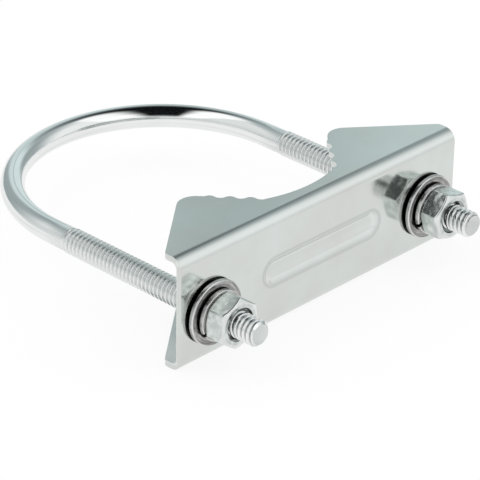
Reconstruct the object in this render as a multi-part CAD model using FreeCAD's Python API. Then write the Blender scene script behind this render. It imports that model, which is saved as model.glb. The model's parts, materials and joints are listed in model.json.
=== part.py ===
"""Pole clamp: a U-bolt, a pressed channel saddle with toothed jaws, washers and hex nuts.

Millimetres. The origin is on the pole axis, at the centre of the U-bolt's bend.
+Z runs along the pole, +Y points from the nuts to the bend, and X runs from leg to leg.
"""

import FreeCAD
import Part
import math
import os

from FreeCAD import Vector

# U-bolt: rod with a thread rolled on both legs
thread_diameter = 6.35
shank_diameter = 6.0
leg_spacing = 72.6
leg_reach = 67.5
leg_plain_length = 6.1
thread_run_out = 0.9
tip_chamfer = 0.7

# Saddle: channel folded from sheet, with the web in front and a flange above and below
sheet = 1.5
saddle_length = 92.2
saddle_height = 28.6
inside_fold_radius = 1.5
web_distance = 52.6
leg_drop = 2.1
leg_hole_diameter = 7.5

# Flange outline: depths are measured back from the front of the web
shoulder_depth = 5.1
shoulder_radius = 1.5
horn_offset = 24.7
horn_depth = 22.4
horn_radius = 4.5
notch_half_width = 11.6
notch_rim_depth = 7.3
notch_floor_depth = 5.2
tooth_pitch = 4.7
tooth_height = 1.0

# Stiffening bead pressed into the web
bead_length = 38.9
bead_width = 6.7
bead_press = 1.1
bead_rim_radius = 2.5

# Hardware on each leg
flat_washer_diameter = 15.9
flat_washer_thickness = 1.65
flat_washer_bevel = 0.3
spring_washer_diameter = 12.4
spring_washer_thickness = 1.6
spring_washer_split = 1.0
spring_washer_slant = 25.0
washer_clearance = 0.35
nut_across_flats = 11.1
nut_height = 5.55
nut_face_diameter = 10.2
nut_chamfer_angle = 30.0
nut_countersink = 0.9
nut_clearance = 0.05

# Turned position of the loose hardware on each leg, in degrees from +X towards +Z
nut_turn = {"left": -6.0, "right": 16.0}
split_turn = {"left": 212.0, "right": 206.0}

# Worked-out sizes
leg_offset = leg_spacing / 2
leg_side = {"left": -leg_offset, "right": leg_offset}
outside_fold_radius = inside_fold_radius + sheet
web_front = -web_distance
washer_seat = web_front
spring_seat = washer_seat - flat_washer_thickness
nut_seat = spring_seat - spring_washer_thickness
washer_bore = thread_diameter + 2 * washer_clearance
nut_bore = thread_diameter + 2 * nut_clearance


def line(start, end):
    """Straight edge between two points."""
    return Part.LineSegment(start, end).toShape()


def arc(start, middle, end):
    """Circular edge through three points."""
    return Part.Arc(start, middle, end).toShape()


def face_of(edges):
    """Flat face inside a closed loop of edges."""
    return Part.Face(Part.Wire(edges))


def round_corner(before, corner, after, radius):
    """Start, middle and end of the arc that rounds a corner between two straight runs."""
    back = (before - corner).normalize()
    ahead = (after - corner).normalize()
    half_angle = back.getAngle(ahead) / 2
    tangent = radius / math.tan(half_angle)
    inward = (back + ahead).normalize()
    centre = corner + inward * (radius / math.sin(half_angle))
    return corner + back * tangent, centre - inward * radius, corner + ahead * tangent


def wave(start, end, outward, pitch, height):
    """Rounded teeth from start to end: a hollow and then a crest for each pitch, all arcs."""
    run = end - start
    count = 2 * round(run.Length / pitch)
    step = run / count
    edges = []
    for index in range(count):
        first = start + step * index
        last = start + step * (index + 1)
        side = -1 if index % 2 == 0 else 1
        middle = (first + last) * 0.5 + outward * (side * height / 2)
        edges.append(arc(first, middle, last))
    return edges


def mirrored(edges):
    """The same edges on the other side of the YZ plane."""
    return [edge.mirror(Vector(0, 0, 0), Vector(1, 0, 0)) for edge in edges]


def jaw_half():
    """Right half of the flange outline, from the end of the web round to the notch floor."""
    end_corner = Vector(saddle_length / 2, 0, 0)
    shoulder = Vector(saddle_length / 2, shoulder_depth, 0)
    horn = Vector(horn_offset, horn_depth, 0)
    floor_end = Vector(notch_half_width, notch_rim_depth, 0)
    shoulder_arc = round_corner(end_corner, shoulder, horn, shoulder_radius)
    horn_arc = round_corner(shoulder, horn, floor_end, horn_radius)
    jaw = horn_arc[2] - floor_end
    tooth_count = math.floor(jaw.Length / tooth_pitch)
    along = Vector(jaw).normalize()
    outward = Vector(-along.y, along.x, 0)
    teeth_end = floor_end + along * (tooth_count * tooth_pitch)
    edges = [
        line(end_corner, shoulder_arc[0]),
        arc(*shoulder_arc),
        line(shoulder_arc[2], horn_arc[0]),
        arc(*horn_arc),
        line(horn_arc[2], teeth_end),
    ]
    return edges + wave(floor_end, teeth_end, outward, tooth_pitch, tooth_height)


def flange_outline():
    """Plan of both flanges: two horns with toothed inner edges and a shallow curved notch."""
    half = jaw_half()
    floor_left = Vector(-notch_half_width, notch_rim_depth, 0)
    floor_right = Vector(notch_half_width, notch_rim_depth, 0)
    floor_middle = Vector(0, notch_floor_depth, 0)
    front = line(Vector(-saddle_length / 2, 0, 0), Vector(saddle_length / 2, 0, 0))
    edges = half + mirrored(half) + [arc(floor_left, floor_middle, floor_right), front]
    return face_of(Part.sortEdges(edges)[0])


def channel():
    """Folded sheet: web in front, one flange above and one below, rounded folds between."""
    top = saddle_height / 2
    fold = top - outside_fold_radius
    depth = horn_depth

    def at(back, up):
        return Vector(-saddle_length / 2, back, up)

    def fold_arc(radius, side):
        reach = radius * math.sqrt(0.5)
        middle = at(outside_fold_radius - reach, side * (fold + reach))
        flange_end = at(outside_fold_radius, side * (fold + radius))
        web_end = at(outside_fold_radius - radius, side * fold)
        return arc(flange_end, middle, web_end)

    edges = [line(at(0, fold), at(0, -fold)), line(at(sheet, fold), at(sheet, -fold))]
    for side in (1, -1):
        outer = side * top
        inner = side * (top - sheet)
        edges.append(fold_arc(outside_fold_radius, side))
        edges.append(fold_arc(inside_fold_radius, side))
        edges.append(line(at(outside_fold_radius, outer), at(depth, outer)))
        edges.append(line(at(outside_fold_radius, inner), at(depth, inner)))
        edges.append(line(at(depth, outer), at(depth, inner)))
    section = face_of(Part.sortEdges(edges)[0])
    return section.extrude(Vector(saddle_length, 0, 0))


def capsule(radius, centre_depth, length):
    """Rod with ball ends along X, which presses the bead."""
    start = Vector(-length / 2, centre_depth, 0)
    rod = Part.makeCylinder(radius, length, start, Vector(1, 0, 0))
    balls = [Part.makeSphere(radius, Vector(side * length / 2, centre_depth, 0)) for side in (-1, 1)]
    return rod.fuse(balls).removeSplitter()


def pressed_bead(blank):
    """Presses the bead into the front of the web, so that it stands out at the back."""
    press_radius = ((bead_width / 2) ** 2 + bead_press**2) / (2 * bead_press)
    centre_depth = bead_press - press_radius
    straight = bead_length - bead_width
    back_room = Part.makeBox(
        saddle_length,
        saddle_height,
        saddle_height,
        Vector(-saddle_length / 2, sheet / 2, -saddle_height / 2),
    )
    bulge = capsule(press_radius + sheet, centre_depth, straight).common(back_room)
    pressed = blank.fuse(bulge).cut(capsule(press_radius, centre_depth, straight))
    pressed = pressed.removeSplitter()
    rim = [edge for edge in pressed.Edges if is_bead_rim(edge)]
    return pressed.makeFillet(bead_rim_radius, rim)


def is_bead_rim(edge):
    """True for the edges where the bead meets the front of the web."""
    box = edge.BoundBox
    on_front = abs(box.YMin) < 1e-6 and abs(box.YMax) < 1e-6
    near_bead = max(abs(box.ZMin), abs(box.ZMax)) < bead_width
    return on_front and near_bead and max(abs(box.XMin), abs(box.XMax)) < saddle_length / 2 - 1e-6


def saddle():
    """Channel saddle with horns, bead and leg holes."""
    plan = flange_outline().extrude(Vector(0, 0, saddle_height))
    plan.translate(Vector(0, 0, -saddle_height / 2))
    shape = pressed_bead(channel().common(plan))
    for side in leg_side.values():
        start = Vector(side, -sheet, -leg_drop)
        hole = Part.makeCylinder(leg_hole_diameter / 2, 3 * sheet, start, Vector(0, 1, 0))
        shape = shape.cut(hole)
    shape.translate(Vector(0, web_front, leg_drop))
    return shape


def turned(profile, side):
    """Solid turned about a leg's axis from (radius, y) points."""
    points = [Vector(side + radius, y, 0) for radius, y in profile]
    points.append(points[0])
    face = Part.Face(Part.makePolygon(points))
    return face.revolve(Vector(side, 0, 0), Vector(0, 1, 0), 360)


def threaded_end(side):
    """Thicker threaded stretch of one leg, with a chamfered tip and a run-out to the shank."""
    crest = thread_diameter / 2
    shank = shank_diameter / 2
    tip = -leg_reach
    start = -leg_plain_length
    profile = [
        (0, tip),
        (crest - tip_chamfer, tip),
        (crest, tip + tip_chamfer),
        (crest, start - thread_run_out),
        (shank, start),
        (0, start),
    ]
    return turned(profile, side)


def u_bolt():
    """Rod bent to a half circle, with both legs threaded."""
    section = Part.Circle(Vector(leg_offset, 0, 0), Vector(0, 1, 0), shank_diameter / 2)
    bend = face_of([section.toShape()]).revolve(Vector(0, 0, 0), Vector(0, 0, 1), 180)
    legs = []
    for side in leg_side.values():
        start = Vector(side, 0, 0)
        legs.append(Part.makeCylinder(shank_diameter / 2, leg_plain_length, start, Vector(0, -1, 0)))
        legs.append(threaded_end(side))
    return bend.fuse(legs).removeSplitter()


def ring(outside, bore, front, thickness, side):
    """Flat ring round a leg, with its front face at y = front."""
    start = Vector(side, front, 0)
    disc = Part.makeCylinder(outside / 2, thickness, start, Vector(0, 1, 0))
    hole = Part.makeCylinder(bore / 2, thickness, start, Vector(0, 1, 0))
    return disc.cut(hole)


def flat_washer(name):
    """Punched washer, with the bevelled edge of the punch side to the front."""
    front = washer_seat - flat_washer_thickness
    shape = ring(flat_washer_diameter, washer_bore, front, flat_washer_thickness, leg_side[name])
    rim = [edge for edge in shape.Edges if is_outer_front(edge, front, flat_washer_diameter)]
    return shape.makeChamfer(flat_washer_bevel, rim)


def is_outer_front(edge, front, diameter):
    """True for the outer circle of a ring's front face."""
    box = edge.BoundBox
    return abs(box.YMax - front) < 1e-6 and abs(box.XLength - diameter) < 1e-6


def spring_washer(name):
    """Spring lock washer, pulled flat, with a slanted split."""
    side = leg_side[name]
    front = spring_seat - spring_washer_thickness
    shape = ring(spring_washer_diameter, washer_bore, front, spring_washer_thickness, side)
    height = 4 * spring_washer_thickness
    reach = spring_washer_diameter
    corner = Vector(0, -height / 2, -spring_washer_split / 2)
    split = Part.makeBox(reach, height, spring_washer_split, corner)
    split.rotate(Vector(0, 0, 0), Vector(1, 0, 0), spring_washer_slant)
    split.rotate(Vector(0, 0, 0), Vector(0, 1, 0), -split_turn[name])
    split.translate(Vector(side, front + spring_washer_thickness / 2, 0))
    return shape.cut(split)


def hex_prism(side, back):
    """Hexagon bar round a leg, from its back face towards the leg's tip."""
    corner_radius = nut_across_flats / math.sqrt(3)
    points = []
    for index in range(7):
        angle = math.radians(60 * index + 30)
        points.append(Vector(corner_radius * math.cos(angle), 0, corner_radius * math.sin(angle)))
    prism = Part.Face(Part.makePolygon(points)).extrude(Vector(0, -nut_height, 0))
    prism.translate(Vector(side, back, 0))
    return prism


def hex_nut(name):
    """Hex nut chamfered to a round face at both ends, with its bore countersunk at the front."""
    side = leg_side[name]
    back = nut_seat
    front = back - nut_height
    face_radius = nut_face_diameter / 2
    corner_radius = nut_across_flats / math.sqrt(3)
    drop = (corner_radius - face_radius) * math.tan(math.radians(nut_chamfer_angle))
    envelope = turned(
        [
            (0, front),
            (face_radius, front),
            (corner_radius, front + drop),
            (corner_radius, back - drop),
            (face_radius, back),
            (0, back),
        ],
        side,
    )
    bore_radius = nut_bore / 2
    mouth_radius = bore_radius + nut_countersink
    bore = turned(
        [
            (0, front),
            (mouth_radius, front),
            (bore_radius, front + nut_countersink),
            (bore_radius, back),
            (0, back),
        ],
        side,
    )
    prism = hex_prism(side, back)
    prism.rotate(Vector(side, 0, 0), Vector(0, 1, 0), -nut_turn[name])
    return prism.common(envelope).cut(bore)


def all_parts():
    """Every node's name and solid."""
    parts = {"u_bolt": u_bolt(), "saddle": saddle()}
    for name in leg_side:
        parts["flat_washer_" + name] = flat_washer(name)
        parts["spring_washer_" + name] = spring_washer(name)
        parts["hex_nut_" + name] = hex_nut(name)
    return parts


def main():
    os.makedirs("parts", exist_ok=True)
    for node, shape in all_parts().items():
        box = shape.BoundBox
        size = f"{box.XLength:.2f} x {box.YLength:.2f} x {box.ZLength:.2f}"
        print(node, size, f"volume {shape.Volume:.1f}", "valid", shape.isValid(), len(shape.Solids))
        shape.exportStep(os.path.join("parts", node + ".step"))


main()
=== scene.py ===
"""Looks of the pole clamp: rolled threads, turned hardware and bright zinc plate.

Metres, in the same frame as the solids: +Z along the pole, +Y from the nuts to the bend.
"""

import json
import math

import bmesh
import bpy
from mathutils import Matrix, Vector


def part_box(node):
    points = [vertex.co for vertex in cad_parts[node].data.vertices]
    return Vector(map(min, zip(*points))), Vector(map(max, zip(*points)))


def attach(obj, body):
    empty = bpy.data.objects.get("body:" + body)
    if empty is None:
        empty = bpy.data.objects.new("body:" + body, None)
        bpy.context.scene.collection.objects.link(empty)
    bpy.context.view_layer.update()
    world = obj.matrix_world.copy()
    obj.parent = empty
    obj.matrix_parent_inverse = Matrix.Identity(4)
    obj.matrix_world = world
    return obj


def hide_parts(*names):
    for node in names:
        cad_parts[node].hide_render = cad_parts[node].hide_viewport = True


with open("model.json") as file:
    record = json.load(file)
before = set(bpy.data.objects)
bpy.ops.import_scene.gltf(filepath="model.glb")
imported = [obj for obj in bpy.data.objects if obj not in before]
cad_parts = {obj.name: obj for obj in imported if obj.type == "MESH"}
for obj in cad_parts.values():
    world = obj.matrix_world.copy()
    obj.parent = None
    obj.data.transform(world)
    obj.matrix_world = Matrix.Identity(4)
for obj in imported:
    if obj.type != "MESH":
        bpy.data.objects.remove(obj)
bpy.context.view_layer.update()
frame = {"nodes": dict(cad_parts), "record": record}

MM = 0.001


def grey(value, tint=(1.0, 1.0, 1.0)):
    """Colour of an even level with a slight tint."""
    return (value * tint[0], value * tint[1], value * tint[2], 1.0)


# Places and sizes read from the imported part
mounts = {mount["name"]: mount for mount in frame["record"]["mounts"]}
stud_sizes = mounts["leg_ends"]["dims"]
leg_offset = stud_sizes["spacing_x_mm"] * MM / 2
crest_radius = stud_sizes["stud_r_mm"] * MM
rod_low, rod_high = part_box("u_bolt")
saddle_low, saddle_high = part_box("saddle")
tip_y = rod_low.y
shank_radius = rod_high.y - leg_offset
nut_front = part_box("hex_nut_left")[0].y
floor_z = saddle_low.z
web_y = saddle_low.y
saddle_middle = (saddle_low.z + saddle_high.z) / 2
saddle_half = (saddle_high.z - saddle_low.z) / 2
leg_side = {"left": -leg_offset, "right": leg_offset}

# Rolled thread: 20 turns to the inch, right-handed
thread_pitch = 1.27 * MM
thread_depth = 0.68 * MM
thread_start_y = -6.1 * MM
thread_run_out = 0.9 * MM
thread_fade = 1.6 * MM
thread_clearance = 0.06 * MM
flank_start = 0.3
flank_end = 0.95
tip_chamfer = 0.7 * MM
thread_shade = 0.3
tip_shade = 0.85
thread_rows = 12
turns_before = 1
turns_after = 2
round_steps = 40
bend_steps = 120

# Saddle's sheet
sheet_thickness = 1.5 * MM
fold_radius = 3.0 * MM
bead_length = 38.9 * MM
bead_width = 6.7 * MM
# Bands beside the bead's rim: painted shade along the rim, painted highlight on the wall inside it
bead_rim = 0.3 * MM
bead_rim_width = 0.8 * MM
bead_wall = 1.2 * MM
bead_wall_width = 0.9 * MM

# Nuts
nut_across_flats = 11.1 * MM
nut_face_radius = 5.1 * MM
nut_chamfer_angle = math.radians(30)
nut_mouth_radius = crest_radius + 0.9 * MM
nut_bore_radius = crest_radius + thread_clearance
nut_edge = 0.3 * MM
nut_edge_steps = 3
nut_round_angle = math.radians(20)
nut_turn = {"left": math.radians(-6), "right": math.radians(16)}
nut_round_steps = 120

# Washers: the painted highlight goes round the rolled front edge and ends on the rim
washer_bore_radius = crest_radius + 0.35 * MM
washer_round_steps = 128
bore_edge_steps = 3
rolled_edge_highlight = (0.0, 0.7, 1.0, 0.8, 0.4)
rim_highlight = 0.2
rim_step_in = 0.1 * MM
rim_step_back = 0.08 * MM
flat_washer_round = 0.35 * MM
flat_washer_rim = 0.95 * MM
flat_washer_undercut = 2.2 * MM
spring_split = 1.0 * MM
spring_slant = math.radians(25)
spring_round = 0.22 * MM
spring_rim = 1.0 * MM
spring_undercut = 1.2 * MM
split_turn = {"left": math.radians(212), "right": math.radians(206)}

# Clean-up of a new mesh
merge_distance = 1e-7
shortest_edge = 1e-8
sharp_angle = math.radians(35)

# Finish: noise lies mostly in noise_range, scales are per metre, a bump is a strength and a height
noise_range = (0.3, 0.7)

# Finish of the rod: rolled and root pairs are for the legs behind the nuts and the studs before them;
# the root grey is painted shade in the thread's grooves
rod_light = grey(0.95, (0.985, 1.0, 0.995))
rod_haze = grey(0.88, (0.98, 1.0, 0.99))
rod_haze_scale = 120.0
rod_streak = grey(0.66, (0.97, 1.0, 0.99))
rod_streak_scale = 1500.0
rod_streak_detail = 4.0
rod_streak_stretch = (1, 1, 0.012)
rod_streak_range = (0.5, 0.7)
rod_streak_share = 0.5
rod_streak_bump = (0.5, 0.04 * MM)
rod_roughness = (0.04, 0.09)
rolled_grey = grey(0.6, (0.97, 1.0, 0.985))
rolled_share = (0.1, 0.0)
rolled_roughness = (0.2, 0.03)
# Painted shade in the thread's grooves
root_shade_grey = grey(0.4, (0.99, 1.0, 0.98))
root_shade_start = 0.35
root_shade_share = (0.15, 0.8)
stud_fade = 1.0 * MM
sawn_grey = grey(0.66, (0.95, 1.0, 0.98))
sawn_share = 0.7
sawn_depth = (0.02 * MM, 0.1 * MM)

# Finish of the sheet: each band gives where a region starts to change and where it has changed
sheet_light = grey(0.77, (0.94, 1.0, 0.975))
sheet_dark = grey(0.7, (0.985, 1.0, 0.97))
sheet_blotch_scale = 70.0
sheet_blotch_detail = 3.0
sheet_blotch_roughness = 0.6
sheet_grain_scale = 1800.0
sheet_grain_detail = 4.0
sheet_grain_stretch = (0.05, 1, 1)
sheet_grain_bump = (0.03, 0.02 * MM)
sheet_roughness = (0.09, 0.13)
sheet_edge_round = 0.2 * MM
sheet_edge_samples = 4
# Painted highlight on the upper fold and on the bead's inner wall
sheet_highlight_grey = grey(0.93, (0.965, 1.0, 0.98))
fold_highlight_share = 0.6
fold_height_band = (1.0 * MM, 1.6 * MM)
fold_depth_band = (1.2 * MM, 1.9 * MM)
wall_highlight_share = 0.35
# Painted shade along the bead's rim
rim_shade_grey = grey(0.48, (0.95, 1.0, 0.98))
rim_shade_share = 0.45
bead_depth_band = (1.0 * MM, 1.3 * MM)
# Paler grey for the channel's inside: painted light
inside_light_grey = grey(0.88, (0.97, 1.0, 0.985))
inside_roughness = 0.35
inside_height_band = (0.1 * MM, 0.4 * MM)
inside_depth_band = (-0.4 * MM, -0.1 * MM)

# Finish of the nuts and washers
plate_blotch_scale = 520.0
plate_blotch_detail = 1.0
plate_pit_scale = 2400.0
plate_pit_detail = 2.0
plate_pit_bump = (0.05, 0.02 * MM)
plate_dent_scale = 350.0
plate_dent_detail = 1.0
plate_dent_bump = (0.6, 0.45 * MM)
ring_scale = 1700.0
ring_detail = 2.0
ring_drift = (0.12, 0.0, 0.12)
ring_range = (0.42, 0.62)
ring_level = 0.16
# Near-white grey for the painted highlight on the edges of nuts and washers
edge_highlight_grey = grey(0.97)
# Near-black grey for painted shade in the nuts' thread and behind the washers' rims
crevice_shade_grey = grey(0.03)
nut_finish = {
    "light": 0.82,
    "dark": 0.62,
    "tint": (0.94, 1.0, 0.97),
    "roughness": (0.19, 0.28),
    "highlight_share": 0.45,
    "ring_share": 0.0,
}
washer_finish = {
    "light": 0.5,
    "dark": 0.34,
    "tint": (1.0, 0.99, 0.98),
    "roughness": (0.16, 0.28),
    "highlight_share": 0.75,
    "ring_share": 0.8,
}
spring_finish = {
    "light": 0.66,
    "dark": 0.5,
    "tint": (1.0, 0.99, 0.98),
    "roughness": (0.18, 0.3),
    "highlight_share": 0.6,
    "ring_share": 0.5,
}

# Camera: fitted to the edges of the object in a square frame
camera_azimuth = math.radians(-46.377)
camera_elevation = math.radians(28.45)
camera_roll = math.radians(0.978)
camera_distance = 669.58 * MM
camera_target = Vector((3.34, -23.0, -8.6)) * MM
camera_clip = 10 * MM
focal_pixels = 2794.8
frame_pixels = 480
sensor_width = 36.0

# Studio that the metal reflects: its axes go across the view, away from the viewer and up
side_axis = Vector((math.cos(camera_azimuth), math.sin(camera_azimuth), 0))
depth_axis = Vector((-math.sin(camera_azimuth), math.cos(camera_azimuth), 0))
up_axis = Vector((0, 0, 1))
middle_blur = 0.02
lowest_ceiling = 0.05

# Dark strip overhead, measured on a ceiling at height 1
left_strip_edge = (0.15, 0.32)
right_strip_edge = (0.17, 0.5)
strip_far_end = (0.5, 1.65)
strip_near_end = (1.1, 4.3)
strip_spread = 0.6
strip_colour = (0.004, 0.005, 0.006, 1.0)

# Bright panels beside the strip, on the same ceiling but for panel_low_end, a direction's height
left_panel_slant = 0.3
right_panel_slant = 0.75
left_panel_reach = 0.62
right_panel_reach = 0.79
panel_edge = (0.9, 1.1)
panel_far_end = (0.2, 0.62)
panel_low_end = (0.1, 0.4)
panel_colour = (1.14, 1.14, 1.14, 1.0)

# Walls and backdrop, measured on the directions themselves
left_wall_colour = (0.79, 0.81, 0.81, 1.0)
low_wall_colour = (0.68, 0.71, 0.71, 1.0)
low_wall_top = (0.2, 0.55)
right_wall_colour = (0.89, 0.91, 0.91, 1.0)
wall_change = (-0.5, 0.5)
wall_far_end = (0.05, 0.62)
backdrop_colour = (0.35, 0.40, 0.41, 1.0)
backdrop_centre = (0.68, 0.78, 0.785, 1.0)
centre_offset = 0.05
centre_edge = (0.25, 0.48)
centre_top = (0.5, 0.66)
backdrop_seam = (0.47, 0.54, 0.545, 1.0)
seam_width = 0.08

# Floor and lamps
floor_reach = 2.0
floor_matt = grey(0.85)
floor_white_share = 0.88
floor_glow = 0.91
far_floor_glow = 0.8
floor_glow_band = (0.1, 0.4)
lamp_places = {"left lamp": (-0.55, 0.45, 0.8), "right lamp": (0.6, -0.6, 0.8)}
lamp_aim = Vector((0, -0.03, 0))
lamp_size = 0.8
lamp_power = 2.2


# Meshes
def smooth_step(low, high, value):
    """Smooth rise from 0 at low to 1 at high."""
    share = min(1.0, max(0.0, (value - low) / (high - low)))
    return share * share * (3 - 2 * share)


def groove(phase):
    """Depth of the thread's groove, 0 on the crest and 1 at the root, with both rounded."""
    from_crest = 2 * min(phase % 1.0, 1 - phase % 1.0)
    return smooth_step(flank_start, flank_end, from_crest)


def thread_crest(y):
    """Radius over the crests at y: full, cut by the tip's chamfer and falling to the shank."""
    chamfered = crest_radius - max(0.0, tip_chamfer - (y - tip_y))
    run_out = min(1.0, max(0.0, (thread_start_y - y) / thread_run_out))
    return min(chamfered, shank_radius + (crest_radius - shank_radius) * run_out)


def thread_radius(y, phase):
    """Radius of the leg at y, where phase says how far along the thread's turn it is."""
    fade = smooth_step(0.0, thread_fade, thread_start_y - y)
    cut = crest_radius - thread_depth * groove(phase)
    if fade < 1:
        cut = thread_crest(y) - thread_depth * groove(phase) * fade
    return min(thread_crest(y), cut)


def rod_point(side, angle, radius, y):
    """Point on a leg: angle 0 faces away from the pole and turns towards +Z."""
    outward = -1 if side < 0 else 1
    return Vector((side + outward * radius * math.cos(angle), y, radius * math.sin(angle)))


class MeshMaker:
    """Collects vertices and faces, and what the materials read at each vertex.

    detail is the place on the straightened rod, or an edge's painted highlight and its radius on nuts
    and washers.
    depth says how deep the vertex lies in a thread's groove or behind a washer's rim, from 0 to 1, and
    the materials paint shade by it.
    """

    def __init__(self):
        self.points = []
        self.details = []
        self.depths = []
        self.faces = []

    def add(self, point, detail=(0, 0, 0), depth=0.0):
        """Adds a vertex and gives its number."""
        self.points.append(point)
        self.details.append(detail)
        self.depths.append(depth)
        return len(self.points) - 1

    def build(self, name):
        """Makes the piece, with doubled vertices merged and sharp edges marked."""
        mesh = bpy.data.meshes.new(name)
        mesh.from_pydata(self.points, [], self.faces)
        detail = mesh.attributes.new("detail", "FLOAT_VECTOR", "POINT")
        detail.data.foreach_set("vector", [value for row in self.details for value in row])
        depth = mesh.attributes.new("depth", "FLOAT", "POINT")
        depth.data.foreach_set("value", self.depths)
        tidy = bmesh.new()
        tidy.from_mesh(mesh)
        bmesh.ops.remove_doubles(tidy, verts=tidy.verts, dist=merge_distance)
        bmesh.ops.dissolve_degenerate(tidy, edges=tidy.edges, dist=shortest_edge)
        bmesh.ops.recalc_face_normals(tidy, faces=tidy.faces)
        tidy.to_mesh(mesh)
        tidy.free()
        mesh.polygons.foreach_set("use_smooth", [True] * len(mesh.polygons))
        mesh.set_sharp_from_angle(angle=sharp_angle)
        piece = bpy.data.objects.new(name, mesh)
        bpy.context.scene.collection.objects.link(piece)
        return piece


def join_rings(maker, rings, closed):
    """Faces between each ring of vertices and the next."""
    pairs = list(zip(rings, rings[1:]))
    if closed:
        pairs.append((rings[-1], rings[0]))
    for one, two in pairs:
        for row in range(len(one)):
            after = (row + 1) % len(one)
            maker.faces.append((one[row], one[after], two[after], two[row]))


def thread_on(maker, side, low, high, radius_at, along_at):
    """Helical wall round a leg from low to high: each row of the mesh follows the thread.

    The turns to spare at both ends are pressed onto the ends' planes. Gives the two end rings.
    """
    turns = turns_before + math.ceil((high - low) / thread_pitch) + turns_after
    first_turn = math.floor((low - tip_y) / thread_pitch) - turns_before
    hand = 1 if side < 0 else -1
    rows = []
    for row in range(turns * thread_rows):
        phase = row / thread_rows
        ring = []
        for step in range(round_steps):
            share = step / round_steps
            if hand < 0:
                share = (round_steps - step) % round_steps / round_steps
            y = tip_y + (first_turn + phase + share) * thread_pitch
            y = min(high, max(low, y))
            angle = 2 * math.pi * step / round_steps
            radius = radius_at(y, phase)
            place = (radius * math.cos(angle), radius * math.sin(angle), along_at(y))
            depth = thread_shade + (1 - thread_shade) * groove(phase)
            ring.append(maker.add(rod_point(side, angle, radius, y), place, depth))
        rows.append(ring)
    for row in range(len(rows) - thread_rows - 1):
        for step in range(round_steps):
            after = (step + 1) % round_steps
            lift_now = 0
            lift_next = 0
            if hand > 0 and after == 0:
                lift_next = thread_rows
            if hand < 0 and step == 0:
                lift_now = thread_rows
            maker.faces.append(
                (
                    rows[row + lift_now][step],
                    rows[row + lift_next][after],
                    rows[row + 1 + lift_next][after],
                    rows[row + 1 + lift_now][step],
                )
            )
    return rows[0], rows[-1]


def rod_bend(maker):
    """Plain rod from the end of one thread round the bend to the other."""
    straight_run = -thread_start_y
    half_turn = math.pi * leg_offset
    stations = [(Vector((-leg_offset, thread_start_y, 0)), math.pi, 0.0)]
    for step in range(bend_steps + 1):
        turn = math.pi * (1 - step / bend_steps)
        centre = Vector((math.cos(turn), math.sin(turn), 0)) * leg_offset
        stations.append((centre, turn, straight_run + half_turn * step / bend_steps))
    stations.append((Vector((leg_offset, thread_start_y, 0)), 0.0, 2 * straight_run + half_turn))
    leg_run = thread_start_y - tip_y
    rings = []
    for centre, turn, run in stations:
        outward = Vector((math.cos(turn), math.sin(turn), 0))
        ring = []
        for step in range(round_steps):
            angle = 2 * math.pi * step / round_steps
            across = shank_radius * math.cos(angle)
            up = shank_radius * math.sin(angle)
            point = centre + outward * across + Vector((0, 0, up))
            ring.append(maker.add(point, (across, up, leg_run + run)))
        rings.append(ring)
    join_rings(maker, rings, False)


def rod_tip(maker, side, along):
    """Flat end face of a leg."""
    radius = thread_crest(tip_y)
    ring = []
    for step in range(round_steps):
        angle = 2 * math.pi * step / round_steps
        place = (radius * math.cos(angle), radius * math.sin(angle), along)
        ring.append(maker.add(rod_point(side, angle, radius, tip_y), place, tip_shade))
    maker.faces.append(tuple(ring))


def make_u_bolt():
    """The bent rod with real threads on both legs."""
    maker = MeshMaker()
    whole_run = 2 * -tip_y + math.pi * leg_offset
    runs = {"left": lambda y: y - tip_y, "right": lambda y: whole_run - (y - tip_y)}
    for name, side in leg_side.items():
        thread_on(maker, side, tip_y, thread_start_y, thread_radius, runs[name])
        rod_tip(maker, side, runs[name](tip_y))
    rod_bend(maker)
    return maker.build("threaded_u_bolt")


def hex_radius(angle):
    """Distance from a nut's axis to its flats at an angle."""
    from_flat = (angle + math.pi / 6) % (math.pi / 3) - math.pi / 6
    return nut_across_flats / 2 / math.cos(from_flat)


def round_edges(nut, side, clear_radius):
    """Rounds the edges of a nut that lie further from its axis than clear_radius."""
    marked = bmesh.new()
    marked.from_mesh(nut.data)
    weight = marked.edges.layers.float.new("bevel_weight_edge")
    for edge in marked.edges:
        nearest = min(math.hypot(vert.co.x - side, vert.co.z) for vert in edge.verts)
        if nearest > clear_radius and edge.calc_face_angle() > nut_round_angle:
            edge[weight] = 1.0
    marked.to_mesh(nut.data)
    marked.free()
    bevel = nut.modifiers.new("rounded edges", "BEVEL")
    bevel.width = nut_edge
    bevel.segments = nut_edge_steps
    bevel.limit_method = "WEIGHT"


def make_nut(name):
    """Hex nut chamfered to a round face at both ends, with rounded edges and a painted highlight on
    its chamfers.
    """
    side = leg_side[name]
    low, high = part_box("hex_nut_" + name)
    front, back = low.y, high.y
    centre = Vector((side, 0, 0))
    maker = MeshMaker()
    rings = []
    for step in range(nut_round_steps):
        angle = 2 * math.pi * step / nut_round_steps
        corner = hex_radius(angle)
        drop = (corner - nut_face_radius) * math.tan(nut_chamfer_angle)
        turned = angle + nut_turn[name]
        direction = Vector((math.cos(turned), 0, math.sin(turned)))
        column = []
        # The third number of each point is its painted highlight: 1 on the chamfers
        for radius, y, highlight in (
            (nut_mouth_radius, front, 0),
            (nut_face_radius - nut_edge, front, 0),
            (nut_face_radius, front, 1),
            (corner, front + drop, 1),
            (corner, front + drop + nut_edge, 0),
            (corner, back - drop - nut_edge, 0),
            (corner, back - drop, 1),
            (nut_face_radius, back, 1),
            (nut_bore_radius, back, 0),
        ):
            point = centre + direction * radius + Vector((0, y, 0))
            column.append(maker.add(point, (highlight, 0, 0)))
        rings.append(column)
    join_rings(maker, rings, True)
    nut = maker.build("nut_" + name)
    round_edges(nut, side, nut_mouth_radius + nut_edge / 2)
    return nut


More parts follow.
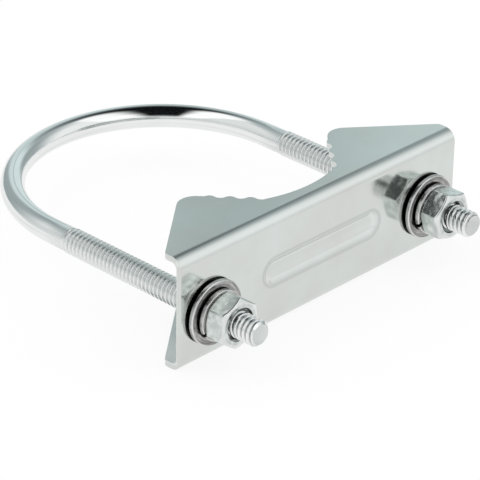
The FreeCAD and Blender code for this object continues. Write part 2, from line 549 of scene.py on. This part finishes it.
def make_nut_thread(name):
    """Thread inside a nut, in mesh with the thread of its leg, as a sleeve that fills the bore."""
    low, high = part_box("hex_nut_" + name)
    front, back = low.y, high.y

    def radius_at(y, phase):
        """Radius of the thread, opened out at both mouths."""
        front_mouth = nut_mouth_radius - (y - front)
        back_mouth = nut_bore_radius - (back - y)
        return max(front_mouth, back_mouth, nut_bore_radius - thread_depth * groove(phase))

    maker = MeshMaker()
    ends = thread_on(maker, leg_side[name], front, back, radius_at, lambda y: y - front)
    join_rings(maker, ends, False)
    return maker.build("nut_thread_" + name)


def arc_points(centre, radius, start, end, steps):
    """Points on an arc in (radius, y), with angles in degrees."""
    points = []
    for step in range(steps + 1):
        angle = math.radians(start + (end - start) * step / steps)
        points.append((centre[0] + radius * math.cos(angle), centre[1] + radius * math.sin(angle)))
    return points


def washer_profile(outer, front, back, rounding, rim, undercut):
    """Section of a washer in (radius, y, depth, highlight): behind the rim it is cut back, and painted
    dark as shade.
    """
    inner = washer_bore_radius
    edge_y = front + rounding
    inner_edge = arc_points((inner + rounding, edge_y), rounding, 180, 270, bore_edge_steps)
    outer_edge = arc_points((outer - rounding, edge_y), rounding, -90, 0, len(rolled_edge_highlight) - 1)
    profile = [(radius, y, 0.0, 0.0) for radius, y in inner_edge]
    # Round the rolled front edge the last number paints a highlight
    profile += [(radius, y, 0.0, highlight) for (radius, y), highlight in zip(outer_edge, rolled_edge_highlight)]
    profile += [(outer, front + rim, 0.0, rim_highlight)]
    # Points behind the rim get depth 1: painted shade
    profile += [(outer - rim_step_in, front + rim + rim_step_back, 1.0, 0.0)]
    profile += [(outer - undercut, back, 1.0, 0.0)]
    profile += [(inner, back, 1.0, 0.0)]
    return profile


def make_flat_washer(name):
    """Punched flat washer: front edge rolled over, rim a little clear of the web."""
    low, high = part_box("flat_washer_" + name)
    outer = (high.x - low.x) / 2
    edges = (flat_washer_round, flat_washer_rim, flat_washer_undercut)
    profile = washer_profile(outer, low.y, high.y, *edges)
    centre = Vector((leg_side[name], 0, 0))
    maker = MeshMaker()
    rings = []
    for step in range(washer_round_steps):
        angle = 2 * math.pi * step / washer_round_steps
        across = Vector((math.cos(angle), 0, math.sin(angle)))
        ring = []
        for radius, y, depth, highlight in profile:
            point = centre + across * radius + Vector((0, y, 0))
            ring.append(maker.add(point, (highlight, radius, 0), depth))
        rings.append(ring)
    join_rings(maker, rings, True)
    return maker.build("punched_washer_" + name)


def make_spring_washer(name):
    """Split spring washer with rounded edges and slanted ends."""
    low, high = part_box("spring_washer_" + name)
    outer = (high.x - low.x) / 2
    middle = (low.y + high.y) / 2
    profile = washer_profile(outer, low.y, high.y, spring_round, spring_rim, spring_undercut)
    half_split = spring_split / 2 / math.cos(spring_slant)
    maker = MeshMaker()
    rings = []
    for step in range(washer_round_steps + 1):
        share = step / washer_round_steps
        ring = []
        for radius, y, depth, highlight in profile:
            start = split_turn[name] + ((y - middle) * math.tan(spring_slant) + half_split) / radius
            sweep = 2 * math.pi - 2 * half_split / radius
            angle = start + sweep * share
            across = Vector((math.cos(angle), 0, math.sin(angle))) * radius
            point = across + Vector((leg_side[name], y, 0))
            ring.append(maker.add(point, (highlight, radius, 0), depth))
        rings.append(ring)
    join_rings(maker, rings, False)
    maker.faces.append(tuple(rings[0]))
    maker.faces.append(tuple(reversed(rings[-1])))
    return maker.build("split_washer_" + name)


# Materials
class NodeMaker:
    """Short calls for building a node tree."""

    def __init__(self, tree):
        self.tree = tree
        tree.nodes.clear()

    def node(self, kind, inputs=None, **settings):
        """New node, with its settings, and with each input linked or set."""
        node = self.tree.nodes.new(kind)
        for key, value in settings.items():
            setattr(node, key, value)
        for key, value in (inputs or {}).items():
            if isinstance(value, bpy.types.NodeSocket):
                self.tree.links.new(value, node.inputs[key])
            else:
                node.inputs[key].default_value = value
        return node

    def math(self, operation, one, two=0.0):
        """One step of arithmetic."""
        return self.node("ShaderNodeMath", {0: one, 1: two}, operation=operation).outputs[0]

    def times(self, one, two):
        """Product of two numbers."""
        return self.math("MULTIPLY", one, two)

    def vector(self, operation, one, two):
        """One step of vector arithmetic."""
        node = self.node("ShaderNodeVectorMath", {0: one, 1: two}, operation=operation)
        return node.outputs["Value" if operation == "DOT_PRODUCT" else "Vector"]

    def length(self, vector):
        """Length of a vector."""
        return self.node("ShaderNodeVectorMath", {0: vector}, operation="LENGTH").outputs["Value"]

    def parts(self, vector):
        """The three parts of a vector, by name."""
        return self.node("ShaderNodeSeparateXYZ", {"Vector": vector}).outputs

    def place(self):
        """Place in the object's own frame."""
        return self.node("ShaderNodeTexCoord").outputs["Object"]

    def attribute(self, name, output):
        """What the mesh holds at a point."""
        return self.node("ShaderNodeAttribute", attribute_name=name).outputs[output]

    def noise(self, place, scale, detail=3.0, roughness=0.55):
        """Cloudy noise from 0 to 1."""
        inputs = {"Vector": place, "Scale": scale, "Detail": detail, "Roughness": roughness}
        return self.node("ShaderNodeTexNoise", inputs).outputs["Fac"]

    def stretched(self, place, factors):
        """Coordinates stretched by a factor on each axis."""
        return self.node("ShaderNodeMapping", {"Vector": place, "Scale": factors}).outputs[0]

    def span(self, value, low, high, to_low, to_high, smooth=False):
        """Takes low to high over to to_low to to_high, and holds the ends."""
        kind = "SMOOTHSTEP" if smooth else "LINEAR"
        inputs = {"Value": value, "From Min": low, "From Max": high}
        inputs.update({"To Min": to_low, "To Max": to_high})
        return self.node("ShaderNodeMapRange", inputs, interpolation_type=kind).outputs["Result"]

    def rise(self, value, low, high, smooth=False):
        """0 up to low and 1 from high on."""
        return self.span(value, low, high, 0.0, 1.0, smooth)

    def fall(self, value, low, high, smooth=False):
        """1 up to low and 0 from high on."""
        return self.span(value, low, high, 1.0, 0.0, smooth)

    def between(self, share, one, two):
        """Number between one and two."""
        return self.node("ShaderNodeMix", {0: share, 2: one, 3: two}).outputs[0]

    def mix(self, share, one, two):
        """Colour between one and two."""
        return self.node("ShaderNodeMix", {0: share, 6: one, 7: two}, data_type="RGBA").outputs[2]

    def bump(self, height, strength, distance, normal=None):
        """Normal bent by a height, on top of another normal if there is one."""
        inputs = {"Height": height, "Strength": strength, "Distance": distance}
        if normal is not None:
            inputs["Normal"] = normal
        return self.node("ShaderNodeBump", inputs).outputs[0]


def new_material(name):
    """Material with an empty node tree, and the maker for its nodes."""
    material = bpy.data.materials.new(name)
    material.use_nodes = True
    return material, NodeMaker(material.node_tree)


def plate_finish(maker, colour, roughness, normal):
    """Bright zinc plate: a metal shader with the given colour, roughness and normal."""
    inputs = {"Base Color": colour, "Roughness": roughness, "Normal": normal, "Metallic": 1.0}
    shader = maker.node("ShaderNodeBsdfPrincipled", inputs)
    maker.node("ShaderNodeOutputMaterial", {"Surface": shader.outputs[0]})


def rod_material():
    """Drawn rod: long fine streaks along it, duller rolled threads, painted shade in the thread's
    roots, and sawn ends.
    """
    material, maker = new_material("bright zinc rod")
    along_rod = maker.attribute("detail", "Vector")
    depth = maker.attribute("depth", "Fac")
    object_y = maker.parts(maker.place())["Y"]
    streak_place = maker.stretched(along_rod, rod_streak_stretch)
    streak = maker.noise(streak_place, rod_streak_scale, rod_streak_detail)
    colour = maker.mix(maker.noise(along_rod, rod_haze_scale), rod_light, rod_haze)
    streaked = maker.span(streak, *rod_streak_range, 0.0, rod_streak_share)
    colour = maker.mix(streaked, colour, rod_streak)
    stud = maker.fall(object_y, nut_front, nut_front + stud_fade)
    rolled = maker.rise(depth, 0.0, thread_shade)
    dull = maker.times(rolled, maker.span(stud, 0.0, 1.0, *rolled_share))
    colour = maker.mix(dull, colour, rolled_grey)
    # Painted shade in the thread's grooves: deeper points mix towards the root grey, more on the
    # studs; the end faces get it too through tip_shade
    root = maker.rise(depth, root_shade_start, 1.0)
    root = maker.times(root, maker.span(stud, 0.0, 1.0, *root_shade_share))
    colour = maker.mix(root, colour, root_shade_grey)
    sawn = maker.span(object_y, tip_y + sawn_depth[0], tip_y + sawn_depth[1], sawn_share, 0.0)
    colour = maker.mix(sawn, colour, sawn_grey)
    roughness = maker.span(streak, *noise_range, *rod_roughness)
    rougher = maker.times(rolled, maker.span(stud, 0.0, 1.0, *rolled_roughness))
    roughness = maker.math("ADD", roughness, rougher)
    plate_finish(maker, colour, roughness, maker.bump(streak, *rod_streak_bump))
    return material


def fold_highlight_region(maker, above, behind):
    """Share of the upper fold's painted highlight, with its height counted from the fold's start."""
    fold_start = saddle_half - fold_radius
    low, high = fold_height_band
    fold = maker.rise(above, fold_start + low, fold_start + high)
    return maker.times(fold, maker.fall(behind, *fold_depth_band))


def bead_shade_and_highlight(maker, across, above, behind):
    """Shares of the painted shade along the bead's rim and of the painted highlight on its wall, on
    the front of the web.
    """
    past_end = maker.math("SUBTRACT", maker.math("ABSOLUTE", across), bead_length / 2 - bead_width / 2)
    past_end = maker.math("MAXIMUM", past_end, 0.0)
    off_line = maker.length(maker.node("ShaderNodeCombineXYZ", {"X": past_end, "Y": above}).outputs[0])
    front = maker.fall(behind, *bead_depth_band)
    shares = []
    for middle, width in (
        (bead_width / 2 + bead_rim, bead_rim_width),
        (bead_width / 2 - bead_wall, bead_wall_width),
    ):
        distance = maker.math("ABSOLUTE", maker.math("SUBTRACT", off_line, middle))
        shares.append(maker.times(maker.fall(distance, 0.0, width, True), front))
    return shares


def inside_region(maker, above, behind):
    """Share of the channel's inside, with its bands counted from the sheet's inner faces."""
    inner_half = saddle_half - sheet_thickness
    low, high = inside_height_band
    inside = maker.fall(maker.math("ABSOLUTE", above), inner_half + low, inner_half + high)
    near, far = inside_depth_band
    return maker.times(inside, maker.rise(behind, sheet_thickness + near, sheet_thickness + far))


def sheet_material():
    """Pressed sheet: fine rolling grain along X, a painted highlight on the upper fold and the bead's
    wall, painted shade along the bead's rim.

    The channel's inside is rougher and painted paler, as painted light.
    """
    material, maker = new_material("bright zinc sheet")
    place = maker.place()
    parts = maker.parts(place)
    behind = maker.math("SUBTRACT", parts["Y"], web_y)
    above = maker.math("SUBTRACT", parts["Z"], saddle_middle)
    fold = fold_highlight_region(maker, above, behind)
    rim, wall = bead_shade_and_highlight(maker, parts["X"], above, behind)
    inside = inside_region(maker, above, behind)
    grain_place = maker.stretched(place, sheet_grain_stretch)
    grain = maker.noise(grain_place, sheet_grain_scale, sheet_grain_detail)
    blotch = maker.noise(place, sheet_blotch_scale, sheet_blotch_detail, sheet_blotch_roughness)
    colour = maker.mix(maker.rise(blotch, *noise_range), sheet_light, sheet_dark)
    # Painted highlight on the upper fold and the bead's wall
    colour = maker.mix(maker.times(fold, fold_highlight_share), colour, sheet_highlight_grey)
    colour = maker.mix(maker.times(wall, wall_highlight_share), colour, sheet_highlight_grey)
    # Painted shade along the bead's rim
    colour = maker.mix(maker.times(rim, rim_shade_share), colour, rim_shade_grey)
    # Painted light: the channel's inside is paler
    colour = maker.mix(inside, colour, inside_light_grey)
    roughness = maker.span(grain, *noise_range, *sheet_roughness)
    roughness = maker.math("ADD", roughness, maker.times(inside, inside_roughness))
    edge = maker.node("ShaderNodeBevel", {"Radius": sheet_edge_round}, samples=sheet_edge_samples)
    plate_finish(maker, colour, roughness, maker.bump(grain, *sheet_grain_bump, edge.outputs[0]))
    return material


def hardware_material(name, light, dark, tint, roughness, highlight_share, ring_share):
    """Zinc-plated hardware: blotchy, dented plate with small pits, a painted highlight on the edges
    and painted shade in the crevices.

    Washers also show dark rings round the bore.
    """
    material, maker = new_material(name)
    place = maker.place()
    detail = maker.parts(maker.attribute("detail", "Vector"))
    crevice_shade = maker.attribute("depth", "Fac")
    blotch = maker.noise(place, plate_blotch_scale, plate_blotch_detail)
    colour = maker.mix(maker.rise(blotch, *noise_range, True), grey(light, tint), grey(dark, tint))
    ring_place = maker.node("ShaderNodeCombineXYZ", {"X": detail["Y"]}).outputs[0]
    ring_place = maker.vector("ADD", ring_place, maker.stretched(place, ring_drift))
    rings = maker.noise(ring_place, ring_scale, ring_detail)
    colour = maker.mix(maker.span(rings, *ring_range, 0.0, ring_share), colour, grey(ring_level, tint))
    # Painted highlight: edges marked in the mesh mix towards the near-white grey
    colour = maker.mix(maker.times(detail["X"], highlight_share), colour, edge_highlight_grey)
    # Painted shade: deep points of the nut's thread and the backs behind the washers' rims go nearly
    # black
    colour = maker.mix(crevice_shade, colour, crevice_shade_grey)
    pits = maker.noise(place, plate_pit_scale, plate_pit_detail)
    dents = maker.noise(place, plate_dent_scale, plate_dent_detail)
    pitted = maker.span(pits, *noise_range, *roughness)
    dented = maker.bump(dents, *plate_dent_bump)
    plate_finish(maker, colour, pitted, maker.bump(pits, *plate_pit_bump, dented))
    return material


def set_material(piece, material):
    """Gives a piece one material."""
    piece.data.materials.clear()
    piece.data.materials.append(material)


# Stage
def background_rays(maker):
    """1 for rays from the camera, a mirror-like surface or through glass, else 0."""
    path = maker.node("ShaderNodeLightPath")
    seen = maker.math("MAXIMUM", path.outputs["Is Camera Ray"], path.outputs["Is Glossy Ray"])
    return maker.math("MAXIMUM", seen, path.outputs["Is Transmission Ray"])


def overhead_shares(maker, right, ahead, height):
    """Shares of the dark strip overhead and of the bright panels beside it."""
    on_right = maker.rise(right, -middle_blur, middle_blur)
    lift = maker.math("MAXIMUM", height, lowest_ceiling)
    across = maker.math("DIVIDE", maker.math("ABSOLUTE", right), lift)
    along = maker.math("DIVIDE", ahead, lift)
    behind = maker.math("MAXIMUM", maker.times(along, -1.0), 0.0)
    spread = maker.math("ADD", maker.times(behind, strip_spread), 1.0)
    off_middle = maker.math("DIVIDE", across, spread)
    left_clear = maker.rise(off_middle, *left_strip_edge, True)
    right_clear = maker.rise(off_middle, *right_strip_edge, True)
    clear = maker.between(on_right, left_clear, right_clear)
    strip = maker.math("SUBTRACT", 1.0, clear)
    strip = maker.times(strip, maker.fall(along, *strip_far_end, True))
    strip = maker.times(strip, maker.fall(behind, *strip_near_end, True))
    slant = maker.times(along, maker.between(on_right, left_panel_slant, right_panel_slant))
    reach = maker.between(on_right, left_panel_reach, right_panel_reach)
    outward = maker.math("DIVIDE", maker.math("ADD", across, slant), reach)
    panel = maker.times(clear, maker.fall(outward, *panel_edge, True))
    panel = maker.times(panel, maker.fall(along, *panel_far_end, True))
    panel = maker.times(panel, maker.rise(height, *panel_low_end))
    return strip, panel


def surroundings(maker, right, ahead, height):
    """Colour of the pale walls, and of the grey backdrop ahead with its lighter centre."""
    left_wall = maker.mix(maker.rise(height, *low_wall_top), low_wall_colour, left_wall_colour)
    wall = maker.mix(maker.rise(right, *wall_change, True), left_wall, right_wall_colour)
    off_centre = maker.math("ABSOLUTE", maker.math("SUBTRACT", right, centre_offset))
    centre = maker.fall(off_centre, *centre_edge, True)
    centre = maker.times(centre, maker.fall(height, *centre_top, True))
    seam = maker.rise(maker.math("ABSOLUTE", right), 0.0, seam_width, True)
    backdrop = maker.mix(seam, backdrop_seam, backdrop_centre)
    backdrop = maker.mix(centre, backdrop_colour, backdrop)
    return maker.mix(maker.fall(ahead, *wall_far_end, True), backdrop, wall)


def make_world():
    """White studio: only reflections see its panels, dark strip, walls and backdrop."""
    world = bpy.data.worlds.new("studio")
    world.use_nodes = True
    maker = NodeMaker(world.node_tree)
    direction = maker.node("ShaderNodeTexCoord").outputs["Generated"]
    right = maker.vector("DOT_PRODUCT", direction, side_axis)
    ahead = maker.vector("DOT_PRODUCT", direction, depth_axis)
    height = maker.vector("DOT_PRODUCT", direction, up_axis)
    strip, panel = overhead_shares(maker, right, ahead, height)
    seen = surroundings(maker, right, ahead, height)
    seen = maker.mix(strip, seen, strip_colour)
    seen = maker.mix(panel, seen, panel_colour)
    path = maker.node("ShaderNodeLightPath")
    colour = maker.mix(path.outputs["Is Glossy Ray"], grey(1.0), seen)
    colour = maker.mix(path.outputs["Is Camera Ray"], colour, grey(1.0))
    back = maker.node("ShaderNodeBackground", {"Color": colour, "Strength": 1.0})
    maker.node("ShaderNodeOutputWorld", {"Surface": back.outputs[0]})
    bpy.context.scene.world = world


def floor_material():
    """Pale floor that looks white, keeps a faint shadow and is a little darker in reflections."""
    material, maker = new_material("pale floor")
    path = maker.node("ShaderNodeLightPath")
    distance = maker.length(maker.place())
    far = maker.rise(distance, *floor_glow_band)
    mirrored = maker.mix(far, grey(floor_glow), grey(far_floor_glow))
    level = maker.mix(path.outputs["Is Glossy Ray"], grey(1.0), mirrored)
    white = maker.node("ShaderNodeEmission", {"Color": level, "Strength": 1.0})
    matt = maker.node("ShaderNodeBsdfDiffuse", {"Color": floor_matt})
    share = maker.times(background_rays(maker), floor_white_share)
    both = maker.node("ShaderNodeMixShader", {0: share, 1: matt.outputs[0], 2: white.outputs[0]})
    maker.node("ShaderNodeOutputMaterial", {"Surface": both.outputs[0]})
    return material


def make_floor():
    """Square floor under the saddle's lower flange."""
    signs = ((-1, -1), (1, -1), (1, 1), (-1, 1))
    corners = [(x * floor_reach, y * floor_reach, floor_z) for x, y in signs]
    mesh = bpy.data.meshes.new("floor")
    mesh.from_pydata(corners, [], [(0, 1, 2, 3)])
    floor = bpy.data.objects.new("floor", mesh)
    bpy.context.scene.collection.objects.link(floor)
    set_material(floor, floor_material())


def make_lamp(name, place):
    """Square soft lamp that faces the object and isn't seen in reflections."""
    lamp = bpy.data.lights.new(name, "AREA")
    lamp.size = lamp_size
    lamp.energy = lamp_power
    holder = bpy.data.objects.new(name, lamp)
    holder.location = place
    aim = lamp_aim - Vector(place)
    holder.rotation_euler = aim.to_track_quat("-Z", "Y").to_euler()
    holder.visible_glossy = False
    bpy.context.scene.collection.objects.link(holder)


def make_camera():
    """Long lens at the photograph's viewing angle."""
    ahead = depth_axis * math.cos(camera_elevation) - up_axis * math.sin(camera_elevation)
    upright = side_axis.cross(ahead)
    right = side_axis * math.cos(camera_roll) + upright * math.sin(camera_roll)
    up = upright * math.cos(camera_roll) - side_axis * math.sin(camera_roll)
    turn = Matrix((right, up, -ahead)).transposed().to_4x4()
    camera = bpy.data.cameras.new("camera")
    camera.sensor_width = sensor_width
    camera.lens = focal_pixels / frame_pixels * sensor_width
    camera.clip_start = camera_clip
    holder = bpy.data.objects.new("camera", camera)
    holder.matrix_world = Matrix.Translation(camera_target - ahead * camera_distance) @ turn
    bpy.context.scene.collection.objects.link(holder)
    bpy.context.scene.camera = holder


def place_piece(piece, body, slot, material, *nodes):
    """Puts a piece on its body, with its finish, in place of the given solids."""
    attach(piece, body)
    set_material(piece, material)
    if nodes:
        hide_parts(*nodes)


def dress():
    """Every visible piece of the clamp."""
    nut_plate = hardware_material("zinc nut", **nut_finish)
    washer_plate = hardware_material("zinc washer", **washer_finish)
    spring_plate = hardware_material("zinc spring washer", **spring_finish)
    place_piece(make_u_bolt(), "u_bolt", "plated_rod", rod_material(), "u_bolt")
    set_material(frame["nodes"]["saddle"], sheet_material())
    for name in leg_side:
        flat_washer = make_flat_washer(name)
        place_piece(flat_washer, "saddle", "plated_washer", washer_plate, "flat_washer_" + name)
        spring_washer = make_spring_washer(name)
        place_piece(spring_washer, "saddle", "plated_spring", spring_plate, "spring_washer_" + name)
        place_piece(make_nut(name), "nut_" + name, "plated_nut", nut_plate, "hex_nut_" + name)
        place_piece(make_nut_thread(name), "nut_" + name, "plated_nut", nut_plate)


dress()
make_world()
make_floor()
for lamp_name, lamp_place in lamp_places.items():
    make_lamp(lamp_name, lamp_place)
make_camera()
bpy.context.scene.view_settings.view_transform = "Standard"
